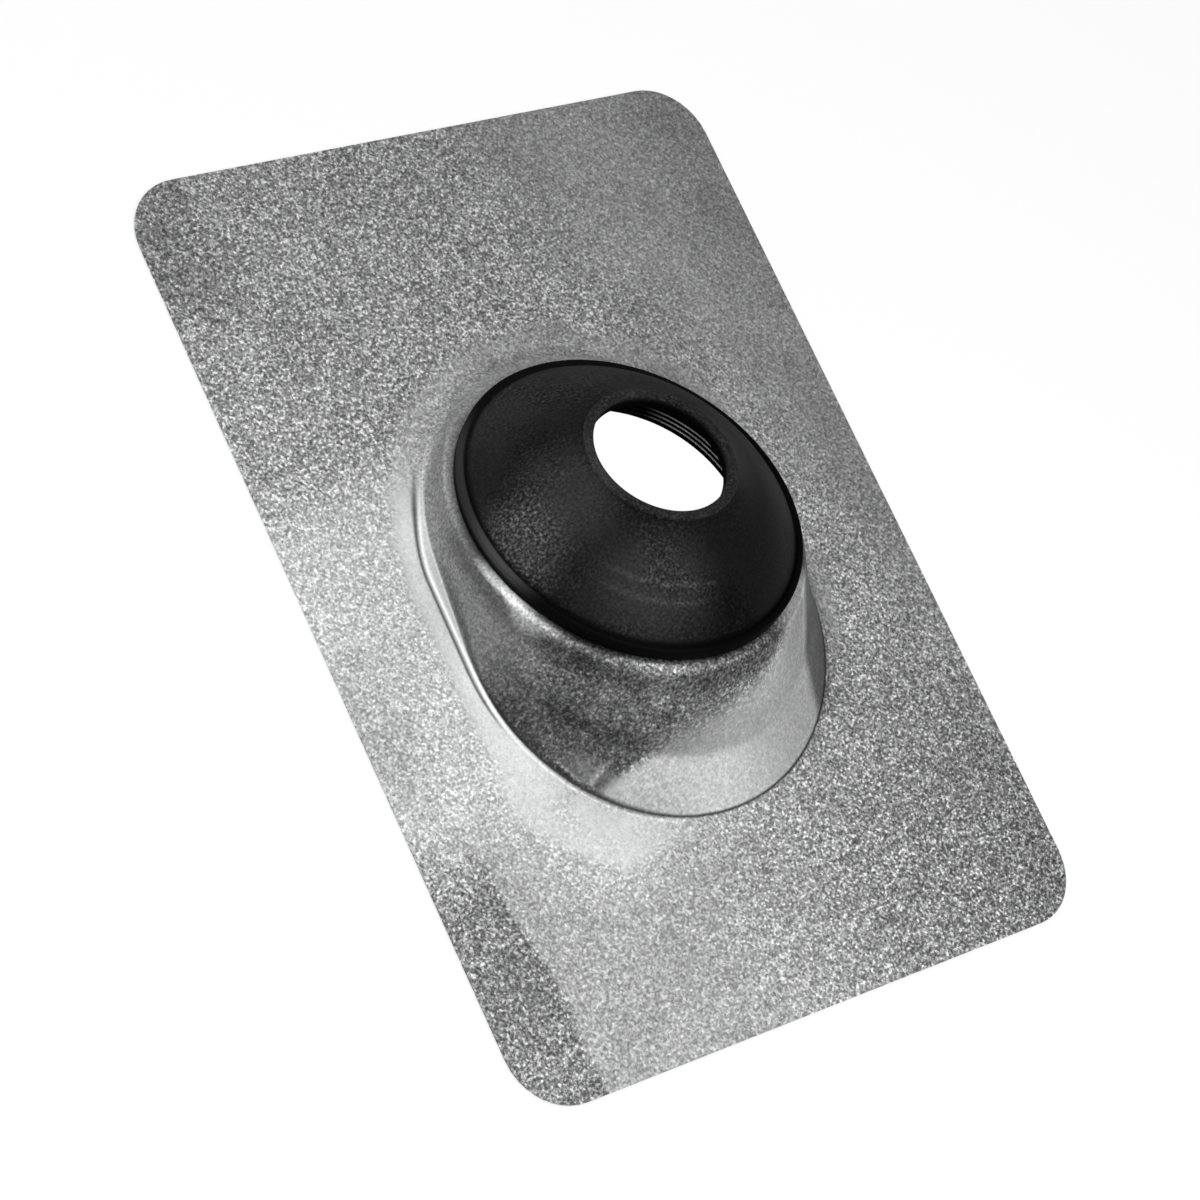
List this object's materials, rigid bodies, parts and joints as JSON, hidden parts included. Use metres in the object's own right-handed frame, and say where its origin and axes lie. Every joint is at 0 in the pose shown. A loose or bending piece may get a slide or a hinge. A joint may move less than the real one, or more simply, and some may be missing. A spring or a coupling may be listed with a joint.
{
  "type": "pipe flashing boot",
  "caption": "Roof flashing for a vent pipe: a flat galvanised sheet drawn up into a sloped hood, with a rubber collar on top that seals round the pipe.",
  "frame": {"origin": "middle of the sheet's outline, on the plane of its underside", "axes": "+X across the sheet, +Y up the roof slope (the side under the shingles), +Z away from the roof"},
  "size_m": [0.2286, 0.3174, 0.0523],
  "materials": {
    "galvanised_sheet": "hot-dip galvanised sheet, fine dull spangle, satin to matt",
    "collar_rubber": "moulded black rubber, satin"
  },
  "bodies": {
    "root": {"galvanised_base": "galvanised_sheet", "rubber_collar": "collar_rubber"}
  },
  "joints": []
}
